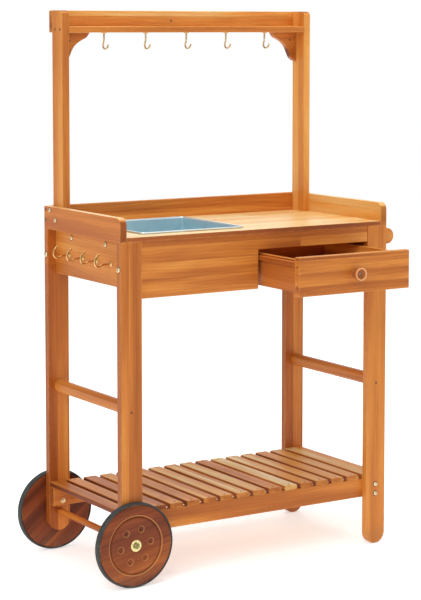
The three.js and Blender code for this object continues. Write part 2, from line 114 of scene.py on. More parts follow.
# ------------------------------------------------------------------ node helpers
class Tree:
    def __init__(self, t):
        self.t, self.n, self.l = t, t.nodes, t.links

    def put(self, sock, v):
        if isinstance(v, bpy.types.NodeSocket):
            self.l.new(v, sock)
        elif v is not None:
            sock.default_value = v

    def m(self, op, a, b=None, c=None, clamp=False):
        x = self.n.new("ShaderNodeMath")
        x.operation = op
        x.use_clamp = clamp
        for i, v in enumerate((a, b, c)):
            self.put(x.inputs[i], v)
        return x.outputs[0]

    def vm(self, op, a, b=None, scale=None):
        x = self.n.new("ShaderNodeVectorMath")
        x.operation = op
        self.put(x.inputs[0], a)
        if b is not None:
            self.put(x.inputs[1], b)
        if scale is not None:
            self.put(x.inputs["Scale"], scale)
        return x.outputs["Value"] if op in ("LENGTH", "DOT_PRODUCT", "DISTANCE") else x.outputs[0]

    def sep(self, v):
        x = self.n.new("ShaderNodeSeparateXYZ")
        self.put(x.inputs[0], v)
        return x.outputs[0], x.outputs[1], x.outputs[2]

    def com(self, a, b, c):
        x = self.n.new("ShaderNodeCombineXYZ")
        for i, v in enumerate((a, b, c)):
            self.put(x.inputs[i], v)
        return x.outputs[0]

    def noise(self, vec, scale=1.0, detail=2.0, rough=0.5, dist=0.0, color=False):
        x = self.n.new("ShaderNodeTexNoise")
        self.put(x.inputs["Vector"], vec)
        x.inputs["Scale"].default_value = scale
        x.inputs["Detail"].default_value = detail
        x.inputs["Roughness"].default_value = rough
        x.inputs["Distortion"].default_value = dist
        return x.outputs[1] if color else x.outputs[0]

    def white(self, vec):
        x = self.n.new("ShaderNodeTexWhiteNoise")
        x.noise_dimensions = "3D"
        self.put(x.inputs["Vector"], vec)
        return x.outputs[0], x.outputs[1]

    def voronoi(self, vec, scale=1.0, feature="F1", rnd=1.0):
        x = self.n.new("ShaderNodeTexVoronoi")
        x.feature = feature
        self.put(x.inputs["Vector"], vec)
        x.inputs["Scale"].default_value = scale
        x.inputs["Randomness"].default_value = rnd
        return x

    def rng(self, v, a, b, c=0.0, d=1.0, smooth=True):
        x = self.n.new("ShaderNodeMapRange")
        x.interpolation_type = "SMOOTHSTEP" if smooth else "LINEAR"
        self.put(x.inputs["Value"], v)
        for k, q in (("From Min", a), ("From Max", b), ("To Min", c), ("To Max", d)):
            self.put(x.inputs[k], q)
        return x.outputs[0]

    def ramp(self, fac, stops):
        x = self.n.new("ShaderNodeValToRGB")
        e = x.color_ramp.elements
        while len(e) > 1:
            e.remove(e[-1])
        e[0].position, e[0].color = stops[0][0], (*stops[0][1], 1)
        for p, c in stops[1:]:
            q = e.new(p)
            q.color = (*c, 1)
        self.put(x.inputs[0], fac)
        return x.outputs[0]

    def mix(self, fac, a, b, mode="MIX"):
        x = self.n.new("ShaderNodeMix")
        x.data_type = "RGBA"
        x.blend_type = mode
        self.put(x.inputs["Factor"], fac)
        for k, v in ((6, a), (7, b)):
            if isinstance(v, tuple):
                v = (*v, 1) if len(v) == 3 else v
            self.put(x.inputs[k], v)
        return x.outputs[2]

    def bump(self, height, strength, distance):
        x = self.n.new("ShaderNodeBump")
        x.inputs["Strength"].default_value = strength
        x.inputs["Distance"].default_value = distance
        self.put(x.inputs["Height"], height)
        return x.outputs[0]


def new_mat(name):
    m = bpy.data.materials.new(name)
    m.use_nodes = True
    t = Tree(m.node_tree)
    bsdf = t.n["Principled BSDF"]
    tc = t.n.new("ShaderNodeTexCoord")
    return m, t, bsdf, tc


# ------------------------------------------------------------------ wood
# Shared acacia figure. Vector is (along, across, thick) in metres.
def wood_group():
    g = bpy.data.node_groups.new("acacia", "ShaderNodeTree")
    def inp(n, k="NodeSocketFloat", d=None):
        s = g.interface.new_socket(name=n, in_out="INPUT", socket_type=k)
        if d is not None:
            s.default_value = d
    inp("Vector", "NodeSocketVector"); inp("Raw", "NodeSocketVector"); inp("End")
    inp("Lo", "NodeSocketVector"); inp("Hi", "NodeSocketVector")
    inp("Seed"); inp("Tone"); inp("Red"); inp("StaveW", d=0.05); inp("StaveL", d=0.4); inp("Var", d=0.3); inp("Figure", d=1.0)
    for n, k in (("Color", "NodeSocketColor"), ("Roughness", "NodeSocketFloat"), ("Normal", "NodeSocketVector")):
        g.interface.new_socket(name=n, in_out="OUTPUT", socket_type=k)
    t = Tree(g)
    gi, go = t.n.new("NodeGroupInput"), t.n.new("NodeGroupOutput")
    I = gi.outputs
    a, c, h = t.sep(I["Vector"])
    sw = t.m("ADD", t.m("DIVIDE", c, I["StaveW"]), t.m("MULTIPLY", I["Seed"], 7.31))
    si, sf = t.m("FLOOR", sw), t.m("FRACT", sw)
    w1, _ = t.white(t.com(si, I["Seed"], 3.0))
    sl = t.m("ADD", t.m("DIVIDE", a, I["StaveL"]), t.m("MULTIPLY", w1, 5.0))
    li, lf = t.m("FLOOR", sl), t.m("FRACT", sl)
    rv, rc = t.white(t.com(si, li, I["Seed"]))
    r, gg, b = t.sep(rc)
    ap = t.m("ADD", a, t.m("MULTIPLY", r, 3.7))
    cp = t.m("ADD", c, t.m("MULTIPLY", gg, 1.3))
    hp = t.m("ADD", h, t.m("MULTIPLY", b, 0.9))

    def stretch(ka, kc):
        return t.com(t.m("MULTIPLY", ap, ka), t.m("MULTIPLY", cp, kc), t.m("MULTIPLY", hp, kc))
    broad = t.noise(stretch(1.5, 20), 1, 3, 0.5, 0.3)
    warp = t.noise(stretch(2.0, 7), 1, 2, 0.5)
    phase = t.m("ADD", t.m("ADD", t.m("MULTIPLY", cp, 105), t.m("MULTIPLY", hp, 47)), t.m("MULTIPLY", warp, 7))
    ring = t.m("ADD", t.m("MULTIPLY", t.m("SINE", t.m("MULTIPLY", phase, 6.2832)), 0.5), 0.5)
    ring = t.m("POWER", ring, 1.5)
    fine = t.noise(stretch(8, 360), 1, 3, 0.6)
    pore = t.rng(t.noise(stretch(30, 1300), 1, 1, 0.5), 0.60, 0.71)
    streak = t.rng(t.noise(stretch(0.9, 42), 1, 2, 0.55, 0.4), 0.56, 0.72)
    f = t.m("ADD", 0.5, I["Tone"])
    f = t.m("ADD", f, t.m("MULTIPLY", t.m("MULTIPLY", t.m("SUBTRACT", broad, 0.5), 1.25), I["Figure"]))
    f = t.m("ADD", f, t.m("MULTIPLY", t.m("MULTIPLY", t.m("SUBTRACT", ring, 0.45), 0.045), I["Figure"]))
    f = t.m("ADD", f, t.m("MULTIPLY", t.m("SUBTRACT", rv, 0.5), I["Var"]))
    f = t.m("ADD", f, t.m("MULTIPLY", t.m("SUBTRACT", fine, 0.5), 0.13))
    stops = [(0.0, (0.10, 0.018, 0.004)), (0.18, (0.21, 0.042, 0.008)), (0.36, (0.355, 0.090, 0.013)), (0.50, (0.47, 0.137, 0.020)),
             (0.62, (0.62, 0.212, 0.034)), (0.75, (0.76, 0.335, 0.068)), (0.88, (0.81, 0.52, 0.20)), (1.0, (0.88, 0.70, 0.40))]
    col = t.ramp(f, stops)
    col = t.mix(t.m("MULTIPLY", t.m("MULTIPLY", streak, 0.13), I["Figure"]), col, (0.24, 0.058, 0.012))
    col = t.mix(t.m("MULTIPLY", pore, 0.20), col, (0.13, 0.036, 0.010))
    # glue lines between staves
    jd = t.m("MULTIPLY", t.m("SUBTRACT", 0.5, t.m("ABSOLUTE", t.m("SUBTRACT", sf, 0.5))), I["StaveW"])
    je = t.m("MULTIPLY", t.m("SUBTRACT", 0.5, t.m("ABSOLUTE", t.m("SUBTRACT", lf, 0.5))), I["StaveL"])
    joint = t.rng(t.m("MINIMUM", jd, je), 0.00015, 0.0007, 1.0, 0.0)
    col = t.mix(t.m("MULTIPLY", joint, 0.30), col, (0.13, 0.04, 0.015))
    # end grain
    rr = t.m("SQRT", t.m("ADD", t.m("POWER", t.m("ADD", cp, 0.021), 2.0), t.m("POWER", t.m("ADD", hp, 0.013), 2.0)))
    er = t.m("ADD", t.m("MULTIPLY", t.m("SINE", t.m("ADD", t.m("MULTIPLY", rr, 2600), t.m("MULTIPLY", warp, 9))), 0.5), 0.5)
    ef = t.m("ADD", t.m("SUBTRACT", f, 0.20), t.m("MULTIPLY", t.m("SUBTRACT", er, 0.5), 0.22))
    ecol = t.ramp(ef, [(q, tuple(0.80 * k for k in cc)) for q, cc in stops])
    endm = t.rng(I["End"], 0.80, 0.92)
    col = t.mix(endm, col, ecol)
    # redder heartwood
    col = t.mix(I["Red"], col, (0.98, 0.83, 0.80), "MULTIPLY")
    # rubbed arrises, partly painted highlight: paler along the arrises, from the distance to the nearest arris of the
    # board
    q = t.vm("MINIMUM", t.vm("SUBTRACT", I["Raw"], I["Lo"]), t.vm("SUBTRACT", I["Hi"], I["Raw"]))
    qx, qy, qz = t.sep(q)
    d2 = t.m("MAXIMUM", t.m("MINIMUM", qx, qy), t.m("MINIMUM", t.m("MAXIMUM", qx, qy), qz))
    patch = t.rng(t.noise(I["Raw"], 46, 3, 0.6), 0.38, 0.62, 0.25, 1.0)
    wear_and_highlight = t.m("MULTIPLY", t.rng(d2, 0.0006, 0.0036, 1.0, 0.0), patch)
    col = t.mix(t.m("MULTIPLY", wear_and_highlight, 0.26), col, (0.74, 0.34, 0.10))
    # handling marks and a little ground dirt
    _, _, rz = t.sep(I["Raw"])
    smudge = t.rng(t.noise(I["Raw"], 9, 4, 0.6), 0.52, 0.75)
    dirt = t.m("MULTIPLY", t.rng(rz, 0.0, 0.07, 1.0, 0.0), t.rng(t.noise(I["Raw"], 60, 3, 0.6), 0.35, 0.65, 0.3, 1.0))
    col = t.mix(t.m("MULTIPLY", smudge, 0.10), col, (0.30, 0.11, 0.045))
    col = t.mix(t.m("MULTIPLY", dirt, 0.30), col, (0.20, 0.12, 0.07))
    rough = t.m("ADD", 0.39, t.m("MULTIPLY", t.m("SUBTRACT", fine, 0.5), 0.30))
    rough = t.m("ADD", rough, t.m("MULTIPLY", smudge, 0.09))
    rough = t.m("ADD", rough, t.m("MULTIPLY", wear_and_highlight, 0.10))
    rough = t.m("ADD", rough, t.m("MULTIPLY", endm, 0.16))
    rough = t.m("ADD", rough, t.m("MULTIPLY", pore, 0.15), clamp=True)
    hgt = t.m("ADD", t.m("MULTIPLY", fine, 0.5), t.m("MULTIPLY", ring, 0.18))
    hgt = t.m("SUBTRACT", hgt, t.m("MULTIPLY", pore, 0.55))
    hgt = t.m("SUBTRACT", hgt, t.m("MULTIPLY", joint, 0.9))
    nrm = t.bump(hgt, 0.38, 0.0006)
    t.l.new(col, go.inputs["Color"]); t.l.new(rough, go.inputs["Roughness"]); t.l.new(nrm, go.inputs["Normal"])
    return g


WOOD = wood_group()
AX = {"x": 0, "y": 1, "z": 2}
_seed = [0]


def wood(name, along, across, lo, hi, tone=0.0, red=0.0, sw=0.5, sl=9.0, var=0.0, fig=1.0, seed=None, spin=None, coat=0.03, edge=None, hollow_light_shade=None, end=1.0, dish_light_shade=None):
    """along, across: grain and width axes. spin: (centre, axis, degrees) turns the figure."""
    m, t, bsdf, tc = new_mat("acacia_" + name)
    _seed[0] += 1
    seed = _seed[0] * 1.618 % 17 if seed is None else seed
    vec, nrm = tc.outputs["Object"], tc.outputs["Normal"]
    if spin:
        out = []
        for v, cen in ((vec, spin[0]), (nrm, (0, 0, 0))):
            r = t.n.new("ShaderNodeVectorRotate")
            r.rotation_type = "AXIS_ANGLE"
            t.put(r.inputs["Vector"], v)
            r.inputs["Center"].default_value = cen
            r.inputs["Axis"].default_value = spin[1]
            r.inputs["Angle"].default_value = math.radians(spin[2])
            out.append(r.outputs[0])
        vec, nrm = out
    s, n = t.sep(vec), t.sep(nrm)
    thick = ({"x", "y", "z"} - {along, across}).pop()
    g = t.n.new("ShaderNodeGroup")
    g.node_tree = WOOD
    t.l.new(t.com(s[AX[along]], s[AX[across]], s[AX[thick]]), g.inputs["Vector"])
    t.l.new(tc.outputs["Object"], g.inputs["Raw"])
    t.l.new(t.m("MULTIPLY", t.m("ABSOLUTE", n[AX[along]]), end), g.inputs["End"])
    g.inputs["Lo"].default_value = tuple(lo)
    g.inputs["Hi"].default_value = tuple(hi)
    for k, v in (("Seed", seed), ("Tone", tone), ("Red", red), ("StaveW", sw), ("StaveL", sl), ("Var", var), ("Figure", fig)):
        g.inputs[k].default_value = v
    if edge:
        # painted light and shade: faces square to this axis are made paler (painted highlight) or darker (painted
        # shade), by the sign of the tone given
        e = t.rng(t.m("ABSOLUTE", n[AX[edge[0]]]), 0.55, 0.9)
        t.l.new(t.m("ADD", tone, t.m("MULTIPLY", e, edge[1])), g.inputs["Tone"])
    colour = g.outputs["Color"]
    if hollow_light_shade:
        # painted shade in the groove and the six recesses of a wheel, and a painted highlight on their rims
        ox, oy, oz = t.sep(tc.outputs["Object"])
        dx, dz = t.m("SUBTRACT", ox, hollow_light_shade[0]), t.m("SUBTRACT", oz, hollow_light_shade[1])
        rad = t.m("SQRT", t.m("ADD", t.m("MULTIPLY", dx, dx), t.m("MULTIPLY", dz, dz)))
        hollow_shade_mask = t.rng(t.m("ABSOLUTE", t.m("SUBTRACT", rad, 0.071)), 0.0012, 0.0030, 1.0, 0.0)
        rim_highlight = t.rng(t.m("ABSOLUTE", t.m("SUBTRACT", rad, 0.0745)), 0.0005, 0.0016, 1.0, 0.0)
        for k in range(6):
            a = math.radians(k * 60 + 8.7)
            ex, ez = t.m("SUBTRACT", dx, 0.0423 * math.cos(a)), t.m("SUBTRACT", dz, 0.0423 * math.sin(a))
            q = t.m("SQRT", t.m("ADD", t.m("MULTIPLY", ex, ex), t.m("MULTIPLY", ez, ez)))
            hollow_shade_mask = t.m("MAXIMUM", hollow_shade_mask, t.rng(q, 0.0055, 0.0072, 0.45, 0.0))
            rim_highlight = t.m("MAXIMUM", rim_highlight, t.rng(t.m("ABSOLUTE", t.m("SUBTRACT", q, 0.0080)), 0.0004, 0.0013, 0.8, 0.0))
        # the outer face only
        face = t.rng(t.m("MULTIPLY", t.m("SUBTRACT", oy, hollow_light_shade[2]), hollow_light_shade[3]), -0.0075, -0.0065)
        hollow_shade_mask, rim_highlight = t.m("MULTIPLY", hollow_shade_mask, face), t.m("MULTIPLY", rim_highlight, face)
        colour = t.mix(t.m("MULTIPLY", hollow_shade_mask, 0.40), colour, (0.14, 0.040, 0.010))
        # painted highlight: paler rims round the groove and the recesses
        colour = t.mix(t.m("MULTIPLY", rim_highlight, 0.50), colour, (0.74, 0.36, 0.12))
    if dish_light_shade:
        # turned knob: painted highlight as a pale ring on the rim, painted shade in the darker dished centre
        ox, oy, oz = t.sep(tc.outputs["Object"])
        dx, dz = t.m("SUBTRACT", ox, dish_light_shade[0]), t.m("SUBTRACT", oz, dish_light_shade[1])
        rad = t.m("SQRT", t.m("ADD", t.m("MULTIPLY", dx, dx), t.m("MULTIPLY", dz, dz)))
        colour = t.mix(t.m("MULTIPLY", t.rng(rad, 0.0105, 0.0125, 1.0, 0.0), 0.6), colour, (0.20, 0.055, 0.014))
        pale = t.m("MULTIPLY", t.rng(rad, 0.0122, 0.0140), t.rng(rad, 0.0158, 0.0170, 1.0, 0.0))
        colour = t.mix(t.m("MULTIPLY", pale, 0.75), colour, (0.84, 0.46, 0.22))
    t.l.new(colour, bsdf.inputs["Base Color"])
    t.l.new(g.outputs["Roughness"], bsdf.inputs["Roughness"])
    t.l.new(g.outputs["Normal"], bsdf.inputs["Normal"])
    bsdf.inputs["Specular IOR Level"].default_value = 0.24
    bsdf.inputs["Coat Weight"].default_value = coat
    bsdf.inputs["Coat Roughness"].default_value = 0.32
    return m


def set_mat(o, m):
    if not o.material_slots:
        o.data.materials.append(m)
    for s in o.material_slots:
        s.material = m


def soften(o, width=1.6, seg=3, angle=38):
    w = o.modifiers.new("weld", "WELD")
    w.merge_threshold = 0.00002
    b = o.modifiers.new("arris", "BEVEL")
    b.width = width / 1000
    b.segments = seg
    b.limit_method = "ANGLE"
    b.angle_limit = math.radians(angle)
    b.use_clamp_overlap = True
    b.harden_normals = False


def board(name, along, across, bevel=1.6, **k):
    lo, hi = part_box(name)
    set_mat(nodes[name], wood(name, along, across, lo, hi, **k))
    if bevel:
        soften(nodes[name], bevel)


# the face-direction tones in the calls below are painted light: painted highlight on top faces, painted shade on front
# faces and on slat sides
# legs: two honey strips either side of a browner heart strip
board("leg_front_left", "z", "x", 2.2, tone=-0.03, sw=0.0215, sl=9, var=0.17, fig=0.5, seed=2.3)
board("leg_rear_left", "z", "x", 2.2, tone=0.00, red=0.3, sw=0.03, sl=6, var=0.16, fig=0.55, seed=4.1)
board("leg_front_right", "z", "x", 2.2, tone=0.12, sw=0.5, sl=9, var=0.0, fig=0.45, seed=5.7)
board("leg_rear_right", "z", "x", 2.2, tone=-0.02, red=0.2, sw=0.03, sl=6, var=0.2, fig=0.6, seed=8.9)
board("apron_front", "x", "z", 1.4, tone=0.03, sw=0.040, sl=9, var=0.20, fig=0.75, seed=3.02)
board("apron_rear", "x", "z", 1.4, tone=0.04, sw=0.05, sl=0.6, var=0.2, fig=0.7, seed=6.2)
board("end_panel_left", "y", "z", 1.4, tone=0.03, sw=0.5, sl=9, var=0.0, fig=0.6, seed=7.7)
board("end_panel_right", "y", "z", 1.4, tone=0.05, sw=0.04, sl=3, var=0.2, fig=0.6, seed=9.4)
board("worktop", "x", "y", 1.0, tone=0.40, sw=0.045, sl=0.42, var=0.15, fig=0.34, seed=1.2, coat=0.10, edge=("y", -0.58))
board("gallery_left", "y", "z", 2.4, tone=0.04, red=0.3, sw=0.5, sl=9, var=0.0, fig=0.45, seed=2.9, edge=("z", 0.30))
board("gallery_right", "y", "z", 2.4, tone=0.27, sw=0.03, sl=9, var=0.08, fig=0.45, seed=5.1, edge=("z", 0.08))
board("gallery_rear", "x", "z", 1.8, tone=0.0, red=0.25, sw=0.5, sl=9, var=0.0, fig=0.9, seed=7.1)
board("hutch_post_left", "z", "y", 2.2, tone=0.16, sw=0.5, sl=9, var=0.0, fig=0.45, seed=8.3, edge=("y", -0.14))
board("hutch_post_right", "z", "y", 2.2, tone=0.20, sw=0.027, sl=9, var=0.08, fig=0.45, seed=1.9, edge=("y", 0.06))
board("hutch_back_board", "x", "z", 2.0, tone=0.12, sw=0.03, sl=9, var=0.12, fig=0.8, seed=3.6, edge=("z", 0.12))
board("hutch_shelf", "x", "y", 1.4, tone=0.26, sw=0.5, sl=9, var=0.0, fig=0.5, seed=6.6, edge=("y", -0.20))
board("hutch_bracket_left", "x", "z", 1.4, tone=0.05, red=0.1, fig=0.7, seed=4.4)
board("hutch_bracket_right", "x", "z", 1.4, tone=0.03, red=0.2, fig=0.7, seed=2.2)
board("stretcher_left", "y", "z", 1.6, tone=0.10, red=0.1, fig=0.6, seed=5.5)
board("stretcher_right", "y", "z", 1.6, tone=0.04, red=0.2, fig=0.6, seed=7.3)
board("shelf_rail_front", "x", "z", 1.6, tone=0.06, sw=0.5, sl=9, var=0.0, fig=0.6, seed=8.1)
board("shelf_rail_rear", "x", "z", 1.6, tone=0.03, sw=0.03, sl=1.4, var=0.16, fig=0.6, seed=9.9)
SLAT_TONE = [0.10, 0.02, 0.00, 0.12, 0.06, -0.02, 0.14, 0.03, 0.10, 0.05, 0.13, 0.01, 0.09, 0.12, 0.04, 0.08]
SLAT_RED = [0.1, 0.5, 0.6, 0.1, 0.2, 0.6, 0.0, 0.4, 0.1, 0.4, 0.0, 0.5, 0.2, 0.1, 0.4, 0.2]
for i in range(16):
    board("shelf_slat_%02d" % (i + 1), "y", "x", 1.6, tone=0.07 + 0.15 * min(1.0, i / 7) + 0.55 * SLAT_TONE[i] + (0.03 if i > 9 else 0.0) + (0.05 if i == 15 else 0.0), red=0.6 * SLAT_RED[i], fig=0.75, seed=1.37 * i + 0.4, edge=("x", -0.45), end=1.6)
board("drawer_front", "x", "z", 1.8, tone=0.015, sw=0.0335, sl=9, var=0.24, fig=0.8, seed=3.3, end=0.0, edge=("z", 0.28))
board("drawer_side_left", "y", "z", 1.0, tone=-0.04, red=0.3, fig=0.6, seed=6.9, edge=("z", 0.30))
board("drawer_side_right", "y", "z", 1.0, tone=0.10, fig=0.6, seed=7.9)
board("drawer_back", "x", "z", 1.0, tone=0.03, fig=0.6, seed=8.8)
board("drawer_bottom", "y", "x", 0.6, tone=0.12, sw=0.05, sl=3, var=0.14, fig=0.4, seed=2.7)


# ------------------------------------------------------------------ other materials
def brass_mat(name, base=(0.80, 0.56, 0.25), rough=0.24):
    m, t, b, tc = new_mat(name)
    v = tc.outputs["Object"]
    n1 = t.noise(v, 140, 4, 0.6)
    n2 = t.rng(t.noise(v, 420, 3, 0.6), 0.5, 0.75)
    dull = tuple(0.62 * c + 0.03 for c in base)
    col = t.mix(t.rng(n1, 0.35, 0.7), base, dull)
    col = t.mix(t.m("MULTIPLY", n2, 0.35), col, (0.16, 0.09, 0.05))
    t.l.new(col, b.inputs["Base Color"])
    t.l.new(t.m("ADD", rough, t.m("MULTIPLY", t.m("ADD", n1, n2), 0.14)), b.inputs["Roughness"])
    b.inputs["Metallic"].default_value = 1.0
    t.l.new(t.bump(t.noise(v, 900, 2, 0.5), 0.12, 0.0002), b.inputs["Normal"])
    return m


BRASS = brass_mat("brass_wire", (0.80, 0.52, 0.20), 0.13)
NICKEL = brass_mat("pale_brass", (0.72, 0.50, 0.24), 0.14)
BOLT = brass_mat("bolt_zinc_brass", (0.93, 0.76, 0.47), 0.26)
YELLOW = brass_mat("yellow_zinc", (0.90, 0.80, 0.36), 0.30)
STEEL = brass_mat("screw_steel", (0.48, 0.40, 0.33), 0.38)
OLIVE = brass_mat("cap_nut_olive", (0.36, 0.32, 0.14), 0.30)


def dark_screw():
    m, t, b, tc = new_mat("dark_screw")
    v = tc.outputs["Object"]
    n = t.noise(v, 300, 3, 0.6)
    t.l.new(t.mix(n, (0.05, 0.03, 0.02), (0.14, 0.07, 0.035)), b.inputs["Base Color"])
    t.l.new(t.m("ADD", 0.35, t.m("MULTIPLY", n, 0.3)), b.inputs["Roughness"])
    b.inputs["Metallic"].default_value = 0.5
    t.l.new(t.bump(n, 0.2, 0.0003), b.inputs["Normal"])
    return m


DARK = dark_screw()


def rubber():
    m, t, b, tc = new_mat("tyre_rubber")
    v = tc.outputs["Object"]
    n = t.noise(v, 60, 4, 0.65)
    sp = t.rng(t.noise(v, 700, 2, 0.6), 0.5, 0.8)
    col = t.mix(t.rng(n, 0.3, 0.75), (0.018, 0.021, 0.019), (0.050, 0.053, 0.047))
    x, y, z = t.sep(v)
    dust = t.m("MULTIPLY", t.rng(z, 0.0, 0.035, 1.0, 0.0), t.rng(n, 0.4, 0.65))
    col = t.mix(t.m("MULTIPLY", dust, 0.25), col, (0.23, 0.19, 0.14))
    col = t.mix(t.m("MULTIPLY", sp, 0.25), col, (0.13, 0.13, 0.12))
    t.l.new(col, b.inputs["Base Color"])
    t.l.new(t.m("ADD", 0.52, t.m("MULTIPLY", n, 0.34)), b.inputs["Roughness"])
    t.l.new(t.bump(t.m("ADD", n, t.m("MULTIPLY", sp, 0.4)), 0.25, 0.0008), b.inputs["Normal"])
    return m


RUBBER = rubber()


def galvanised():
    m, t, b, tc = new_mat("galvanised_sheet")
    v = tc.outputs["Object"]
    warp = t.vm("ADD", v, t.vm("SCALE", t.noise(v, 22, 3, 0.6, color=True), scale=0.02))
    vo = t.voronoi(warp, 85)
    cell, _ = t.white(t.vm("SCALE", vo.outputs["Position"], scale=37.0))
    fog = t.noise(v, 7, 4, 0.6)
    brush = t.noise(t.vm("MULTIPLY", v, (6, 6, 260)), 1, 3, 0.6)
    f = t.m("ADD", t.m("MULTIPLY", cell, 0.16), t.m("MULTIPLY", fog, 0.84))
    col = t.ramp(f, [(0.2, (0.49, 0.67, 0.74)), (0.5, (0.56, 0.75, 0.81)), (0.8, (0.64, 0.83, 0.89))])
    ox, oy, oz = t.sep(v)
    col = t.mix(t.m("MULTIPLY", t.rng(brush, 0.5, 0.7), 0.10), col, (0.62, 0.76, 0.82))
    # painted highlight: a paler band along the rolled rim at worktop level
    rim_highlight = t.rng(oz, RIM_Z - 0.001, RIM_Z + 0.0012)
    col = t.mix(t.m("MULTIPLY", rim_highlight, 0.75), col, (0.80, 0.86, 0.88))
    t.l.new(col, b.inputs["Base Color"])
    t.l.new(t.m("ADD", 0.27, t.m("ADD", t.m("MULTIPLY", cell, 0.05), t.m("MULTIPLY", fog, 0.16))), b.inputs["Roughness"])
    b.inputs["Metallic"].default_value = 0.72
    t.l.new(t.bump(t.m("ADD", t.m("MULTIPLY", cell, 0.15), brush), 0.06, 0.0005), b.inputs["Normal"])
    return m


RIM_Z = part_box("worktop")[1].z
GALV = galvanised()


# ------------------------------------------------------------------ mesh helpers (row frame, metres)
def finish_mesh(name, bm, mat, body, smooth=40):
    bmesh.ops.recalc_face_normals(bm, faces=bm.faces)
    me = bpy.data.meshes.new(name)
    bm.to_mesh(me)
    bm.free()
    for p in me.polygons:
        p.use_smooth = True
    me.set_sharp_from_angle(angle=math.radians(smooth))
    me.materials.append(mat)
    o = bpy.data.objects.new(name, me)
    bpy.context.collection.objects.link(o)
    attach(o, body)
    return o


def ring_shape(kind, th):
    if kind == "hex":
        k = (th % (math.pi / 3)) - math.pi / 6
        return math.cos(math.pi / 6) / math.cos(k)
    if kind == "cross":
        k = abs(((th + math.pi / 4) % (math.pi / 2)) - math.pi / 4)
        return 1.0 if k < 0.30 else 0.36
    return 1.0


def basis(d):
    d = Vector(d).normalized()
    u = Vector((0, 0, 1)) if abs(d.z) < 0.9 else Vector((1, 0, 0))
    u = (u - d * u.dot(d)).normalized()
    return u, d.cross(u), d


def lathe_bm(bm, prof, centre, d, seg=40):
    """prof: [(radius mm, height mm, kind)], turned about direction d through centre."""
    u, v, d = basis(d)
    rings = []
    for p in prof:
        r, h, kind = (*p, None)[:3]
        if r < 1e-6:
            rings.append([bm.verts.new(centre + d * h / 1000)])
            continue
        ring = []
        for i in range(seg):
            th = 2 * math.pi * i / seg
            q = r / 1000 * ring_shape(kind, th)
            ring.append(bm.verts.new(centre + d * h / 1000 + (u * math.cos(th) + v * math.sin(th)) * q))
        rings.append(ring)
    for a, b in zip(rings, rings[1:]):
        if len(a) == 1 and len(b) == 1:
            continue
        for i in range(seg):
            j = (i + 1) % seg
            if len(a) == 1:
                bm.faces.new((a[0], b[i], b[j]))
            elif len(b) == 1:
                bm.faces.new((a[i], a[j], b[0]))
            else:
                bm.faces.new((a[i], a[j], b[j], b[i]))


def lathe(name, prof, centre, d, mat, body, seg=40, smooth=40):
    bm = bmesh.new()
    lathe_bm(bm, prof, centre, d, seg)
    return finish_mesh(name, bm, mat, body, smooth)


def pan_head(name, at, d, mat=BOLT, R=6.5, H=3.4, body="frame", kind="hex"):
    rr = 0.46 * R if kind == "hex" else 0.58 * R
    prof = [(0, -2.0), (R * 0.45, -2.0), (R * 0.45, 0.0), (R * 0.96, 0.0), (R, 0.35), (R * 0.985, H * 0.35), (R * 0.90, H * 0.68), (R * 0.74, H * 0.90),
            (R * 0.58 if kind == "hex" else R * 0.7, H), (rr, H * 0.985, kind), (rr * 0.94, H * 0.93, kind), (rr * 0.9, H * 0.22, kind), (rr * 0.45, H * 0.1), (0, H * 0.06)]
    # dark ring under the head: painted shadow of the counterbore
    lathe(name + "_shadow_ring", [(R * 0.9, -1.0), (R * 1.22, -1.0), (R * 1.22, 0.12), (R * 1.14, 0.22), (R * 0.9, 0.22), (R * 0.9, -1.0)], at, d, DARK, body, 40, 40)
    return lathe(name, prof, at, d, mat, body, 48, 32)


def sunk_screw(name, at, d, mat=DARK, R=3.6, body="frame"):
    prof = [(0, -3), (R * 0.6, -3), (R, 0.0), (R * 0.98, 0.18), (R * 0.62, 0.22), (R * 0.52, 0.16, "cross"), (R * 0.46, -1.2, "cross"), (0, -1.6)]
    return lathe(name, prof, at, d, mat, body, 32, 32)


def plug(name, at, d, body="frame", R=4.6, tone=-0.12, mat=None):
    prof = [(0, -3), (R, -3), (R, 0.15), (R * 0.9, 0.4), (R * 0.5, 0.5), (0, 0.52)]
    lo, hi = at - Vector((0.02,) * 3), at + Vector((0.02,) * 3)
    return lathe(name, prof, at, d, mat or wood(name, "z", "x", lo, hi, tone=tone, fig=0.6), body, 28, 40)


FRONT, BACK, LEFT, RIGHT, UP, DOWN = (0, -1, 0), (0, 1, 0), (-1, 0, 0), (1, 0, 0), (0, 0, 1), (0, 0, -1)

